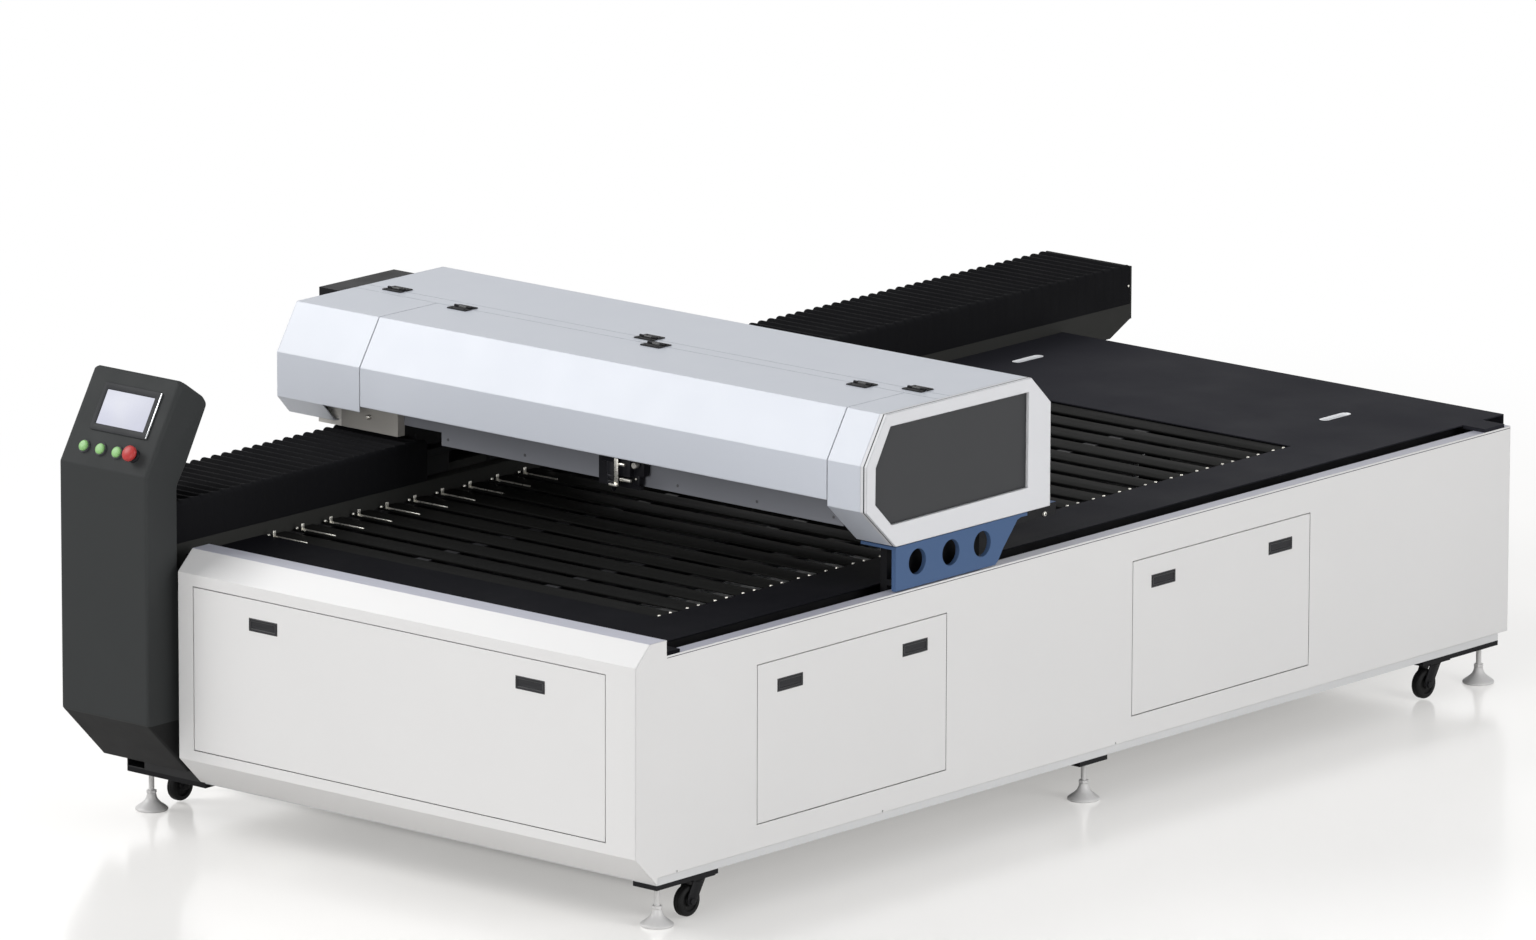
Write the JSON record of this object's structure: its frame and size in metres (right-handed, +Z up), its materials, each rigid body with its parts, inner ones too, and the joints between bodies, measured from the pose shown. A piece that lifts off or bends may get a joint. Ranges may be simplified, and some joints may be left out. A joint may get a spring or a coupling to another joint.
{
  "type": "carbon dioxide laser cutting machine",
  "caption": "Flatbed laser cutting machine: a long cabinet with a slatted bed, a gantry that travels on rails under bellows, a cutting head and a control column.",
  "frame": {"origin": "middle of the footprint, on the floor", "axes": "+Z up, +Y from the operator end towards the rear along the bed, +X to the right"},
  "size_m": [1.977, 3.7344, 1.1019],
  "materials": {
    "white_sheet": "satin",
    "frame_paint": "satin",
    "dark_sheet": "satin",
    "slat_metal": "satin",
    "galvanised": "satin",
    "bellows_fabric": "matte",
    "black_paint": "satin",
    "foot_plastic": "satin",
    "column_paint": "satin",
    "screen_glass": "glossy",
    "steel": "satin",
    "zinc": "satin",
    "latch_plastic": "matte",
    "button_green": "glossy",
    "stop_red": "glossy",
    "castor_tyre": "matte",
    "beam_paint": "satin",
    "blue_paint": "satin",
    "bracket_paint": "satin",
    "tube_glass": "glossy",
    "head_black": "satin",
    "aluminium": "satin"
  },
  "bodies": {
    "root": {"base_frame": "frame_paint", "front_cover": "white_sheet", "right_side_panel": "white_sheet", "left_side_panel": "white_sheet", "rear_panel": "white_sheet", "table_sheets": "dark_sheet", "rear_table_plate": "dark_sheet", "slats": "slat_metal", "scrap_trays": "galvanised", "rail_beam": "dark_sheet", "linear_rails": "steel", "bellows_front": "bellows_fabric", "bellows_rear": "bellows_fabric", "corner_plates": "black_paint", "levelling_feet": "foot_plastic", "control_column": "column_paint", "screen": "screen_glass", "power_supply": "galvanised", "door_hinges": "zinc", "gantry_drive": "black_paint"},
    "drive_screw": {"drive_screw": "steel"},
    "front_door": {"front_door": "white_sheet"},
    "side_door_front": {"side_door_front": "white_sheet"},
    "side_door_rear": {"side_door_rear": "white_sheet"},
    "front_paddle_left": {"front_paddle_left": "latch_plastic"},
    "front_paddle_right": {"front_paddle_right": "latch_plastic"},
    "side_paddle_1": {"side_paddle_1": "latch_plastic"},
    "side_paddle_2": {"side_paddle_2": "latch_plastic"},
    "side_paddle_3": {"side_paddle_3": "latch_plastic"},
    "side_paddle_4": {"side_paddle_4": "latch_plastic"},
    "button_1": {"button_1": "button_green"},
    "button_2": {"button_2": "button_green"},
    "button_3": {"button_3": "button_green"},
    "emergency_stop": {"emergency_stop": "stop_red"},
    "fork_front_right": {"fork_front_right": "black_paint"},
    "fork_front_left": {"fork_front_left": "black_paint"},
    "fork_rear_right": {"fork_rear_right": "black_paint"},
    "fork_rear_left": {"fork_rear_left": "black_paint"},
    "wheel_front_right": {"wheel_front_right": "castor_tyre"},
    "wheel_front_left": {"wheel_front_left": "castor_tyre"},
    "wheel_rear_right": {"wheel_rear_right": "castor_tyre"},
    "wheel_rear_left": {"wheel_rear_left": "castor_tyre"},
    "gantry": {"gantry_beam": "beam_paint", "end_caps": "white_sheet", "cover_spine": "white_sheet", "right_end_panel": "white_sheet", "right_bracket": "blue_paint", "left_bracket": "bracket_paint", "laser_tube": "tube_glass", "tube_mounts": "black_paint", "tail_cover": "black_paint", "lid_hinges": "black_paint", "head_drive": "head_black"},
    "front_lid": {"front_lid": "white_sheet"},
    "rear_lid": {"rear_lid": "white_sheet"},
    "cutting_head": {"head_carriage": "head_black", "laser_head": "aluminium"},
    "focus": {"focus_tube": "aluminium"},
    "drive_pulley": {"drive_pulley": "aluminium"},
    "idler_pulley": {"idler_pulley": "aluminium"}
  },
  "joints": [
    {"name": "gantry_travel", "type": "slide", "parent": "root", "child": "gantry", "axis": [0, 1, 0], "range_m": [-0.49, 1.88], "deforming": ["bellows_front", "bellows_rear"]},
    {"name": "head_travel", "type": "slide", "parent": "gantry", "child": "cutting_head", "axis": [1, 0, 0], "range_m": [-0.64, 0.53]},
    {"name": "focus_slide", "type": "slide", "parent": "cutting_head", "child": "focus", "axis": [0, 0, 1], "range_m": [-0.03, 0.003]},
    {"name": "front_lid_hinge", "type": "hinge", "parent": "gantry", "child": "front_lid", "pos_m": [0.1835, -0.67981, 1.0985], "axis": [-1, 0, 0], "range_deg": [0, 80]},
    {"name": "rear_lid_hinge", "type": "hinge", "parent": "gantry", "child": "rear_lid", "pos_m": [0.1835, -0.63481, 1.0985], "axis": [1, 0, 0], "range_deg": [0, 80]},
    {"name": "front_door_hinge", "type": "hinge", "parent": "root", "child": "front_door", "pos_m": [0.2345, -1.76781, 0.22], "axis": [1, 0, 0], "range_deg": [0, 90]},
    {"name": "side_door_front_hinge", "type": "hinge", "parent": "root", "child": "side_door_front", "pos_m": [0.9765, -1.00281, 0.196], "axis": [0, 1, 0], "range_deg": [0, 90]},
    {"name": "side_door_rear_hinge", "type": "hinge", "parent": "root", "child": "side_door_rear", "pos_m": [0.9765, 0.38119, 0.196], "axis": [0, 1, 0], "range_deg": [0, 90]},
    {"name": "front_paddle_left_pull", "type": "hinge", "parent": "front_door", "child": "front_paddle_left", "pos_m": [-0.1935, -1.77381, 0.557], "axis": [-1, 0, 0], "range_deg": [0, 35], "stiffness_Nm_per_rad": 0.05, "springref_deg": -5.73},
    {"name": "front_paddle_right_pull", "type": "hinge", "parent": "front_door", "child": "front_paddle_right", "pos_m": [0.6555, -1.77381, 0.557], "axis": [-1, 0, 0], "range_deg": [0, 35], "stiffness_Nm_per_rad": 0.05, "springref_deg": -5.73},
    {"name": "side_paddle_1_pull", "type": "hinge", "parent": "side_door_front", "child": "side_paddle_1", "pos_m": [0.9825, -1.22881, 0.516], "axis": [0, -1, 0], "range_deg": [0, 35], "stiffness_Nm_per_rad": 0.05, "springref_deg": -5.73},
    {"name": "side_paddle_2_pull", "type": "hinge", "parent": "side_door_front", "child": "side_paddle_2", "pos_m": [0.9825, -0.77581, 0.516], "axis": [0, -1, 0], "range_deg": [0, 35], "stiffness_Nm_per_rad": 0.05, "springref_deg": -5.73},
    {"name": "side_paddle_3_pull", "type": "hinge", "parent": "side_door_rear", "child": "side_paddle_3", "pos_m": [0.9825, 0.15519, 0.516], "axis": [0, -1, 0], "range_deg": [0, 35], "stiffness_Nm_per_rad": 0.05, "springref_deg": -5.73},
    {"name": "side_paddle_4_pull", "type": "hinge", "parent": "side_door_rear", "child": "side_paddle_4", "pos_m": [0.9825, 0.60819, 0.516], "axis": [0, -1, 0], "range_deg": [0, 35], "stiffness_Nm_per_rad": 0.05, "springref_deg": -5.73},
    {"name": "button_1_press", "type": "slide", "parent": "root", "child": "button_1", "axis": [0, 0.866, -0.5], "range_m": [0, 0.004], "stiffness_N_per_m": 250, "springref_m": -0.001},
    {"name": "button_2_press", "type": "slide", "parent": "root", "child": "button_2", "axis": [0, 0.866, -0.5], "range_m": [0, 0.004], "stiffness_N_per_m": 250, "springref_m": -0.001},
    {"name": "button_3_press", "type": "slide", "parent": "root", "child": "button_3", "axis": [0, 0.866, -0.5], "range_m": [0, 0.004], "stiffness_N_per_m": 250, "springref_m": -0.001},
    {"name": "emergency_stop_press", "type": "slide", "parent": "root", "child": "emergency_stop", "axis": [0, 0.866, -0.5], "range_m": [0, 0.005]},
    {"name": "front_right_swivel", "type": "hinge", "parent": "root", "child": "fork_front_right", "pos_m": [0.9455, -1.52481, 0.09], "axis": [0, 0, 1], "continuous": true},
    {"name": "front_right_roll", "type": "hinge", "parent": "fork_front_right", "child": "wheel_front_right", "pos_m": [0.9455, -1.55281, 0.0405], "axis": [1, 0, 0], "continuous": true},
    {"name": "rear_right_swivel", "type": "hinge", "parent": "root", "child": "fork_rear_right", "pos_m": [0.9455, 1.26419, 0.09], "axis": [0, 0, 1], "continuous": true},
    {"name": "rear_right_roll", "type": "hinge", "parent": "fork_rear_right", "child": "wheel_rear_right", "pos_m": [0.9455, 1.23619, 0.0405], "axis": [1, 0, 0], "continuous": true},
    {"name": "front_left_swivel", "type": "hinge", "parent": "root", "child": "fork_front_left", "pos_m": [-0.6785, -1.52481, 0.09], "axis": [0, 0, 1], "continuous": true},
    {"name": "front_left_roll", "type": "hinge", "parent": "fork_front_left", "child": "wheel_front_left", "pos_m": [-0.6785, -1.55281, 0.0405], "axis": [1, 0, 0], "continuous": true},
    {"name": "rear_left_swivel", "type": "hinge", "parent": "root", "child": "fork_rear_left", "pos_m": [-0.6785, 1.26419, 0.09], "axis": [0, 0, 1], "continuous": true},
    {"name": "rear_left_roll", "type": "hinge", "parent": "fork_rear_left", "child": "wheel_rear_left", "pos_m": [-0.6785, 1.23619, 0.0405], "axis": [1, 0, 0], "continuous": true},
    {"name": "drive_screw_turn", "type": "hinge", "parent": "root", "child": "drive_screw", "pos_m": [-0.6605, -0.07481, 0.728], "axis": [0, 1, 0], "continuous": true},
    {"name": "drive_pulley_turn", "type": "hinge", "parent": "gantry", "child": "drive_pulley", "pos_m": [-0.5915, -0.91981, 0.995], "axis": [0, 1, 0], "continuous": true},
    {"name": "idler_pulley_turn", "type": "hinge", "parent": "gantry", "child": "idler_pulley", "pos_m": [0.8185, -0.91981, 0.995], "axis": [0, 1, 0], "continuous": true}
  ],
  "couplings": [
    {"joint": "drive_screw_turn", "follows": "gantry_travel", "rad_per_m": 251.33},
    {"joint": "drive_pulley_turn", "follows": "head_travel", "rad_per_m": -66.667},
    {"joint": "idler_pulley_turn", "follows": "head_travel", "rad_per_m": -66.667}
  ]
}
